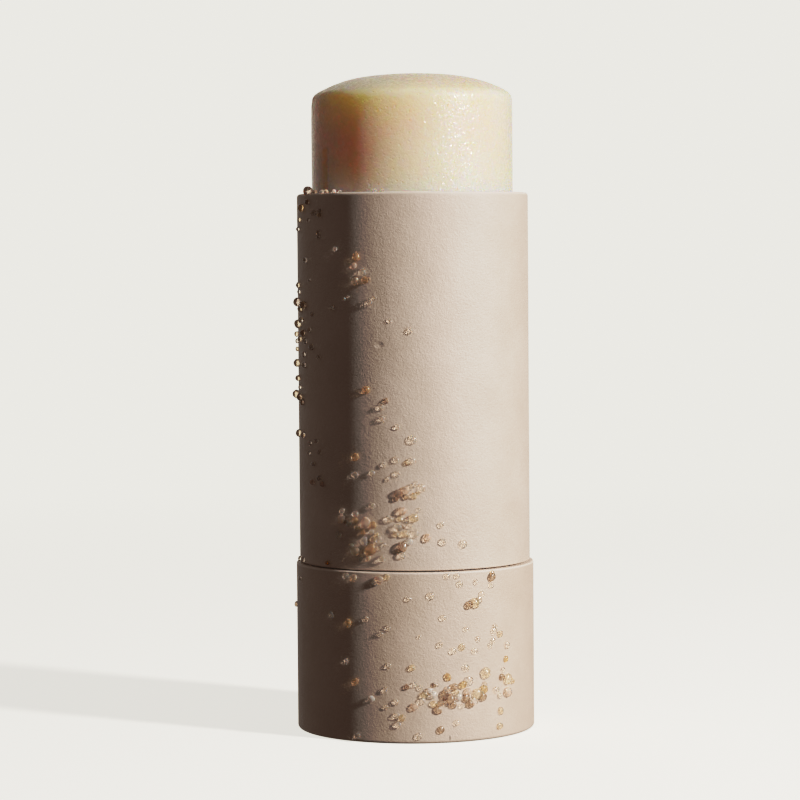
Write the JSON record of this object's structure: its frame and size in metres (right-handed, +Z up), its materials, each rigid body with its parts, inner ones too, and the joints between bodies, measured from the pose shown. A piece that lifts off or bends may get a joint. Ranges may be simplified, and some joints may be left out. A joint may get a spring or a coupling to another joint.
{
  "type": "balm stick",
  "caption": "Round solid balm standing out of a twist-up paper tube; turning the short base sleeve winds the balm up or down.",
  "frame": {"origin": "middle of the foot, on the surface that the stick stands on", "axes": "+Z up along the tube's axis; -Y faces the picture's viewer and +X runs to the picture's right"},
  "size_m": [0.034, 0.034, 0.0934],
  "materials": {
    "paper_sleeve": "matt uncoated taupe paper with a fine felt texture",
    "board": "plain grey-brown board",
    "moulding": "off-white moulded polypropylene",
    "wax": "cream translucent wax with a soft sheen"
  },
  "bodies": {
    "barrel": {"barrel": "moulding", "neck_sleeve": "paper_sleeve"},
    "base": {"base_sleeve": "paper_sleeve", "base_disc": "board", "dial": "moulding", "spindle": "moulding"},
    "elevator": {"platform": "moulding", "balm": "wax"}
  },
  "joints": [
    {"name": "base_twist", "type": "hinge", "parent": "barrel", "child": "base", "pos_m": [0, 0, 0], "axis": [0, 0, 1], "range_deg": [-1620, 2520]},
    {"name": "elevator_slide", "type": "slide", "parent": "barrel", "child": "elevator", "axis": [0, 0, 1], "range_m": [-0.018, 0.028]}
  ],
  "couplings": [
    {"joint": "base_twist", "follows": "elevator_slide", "rad_per_m": 1570.8}
  ]
}
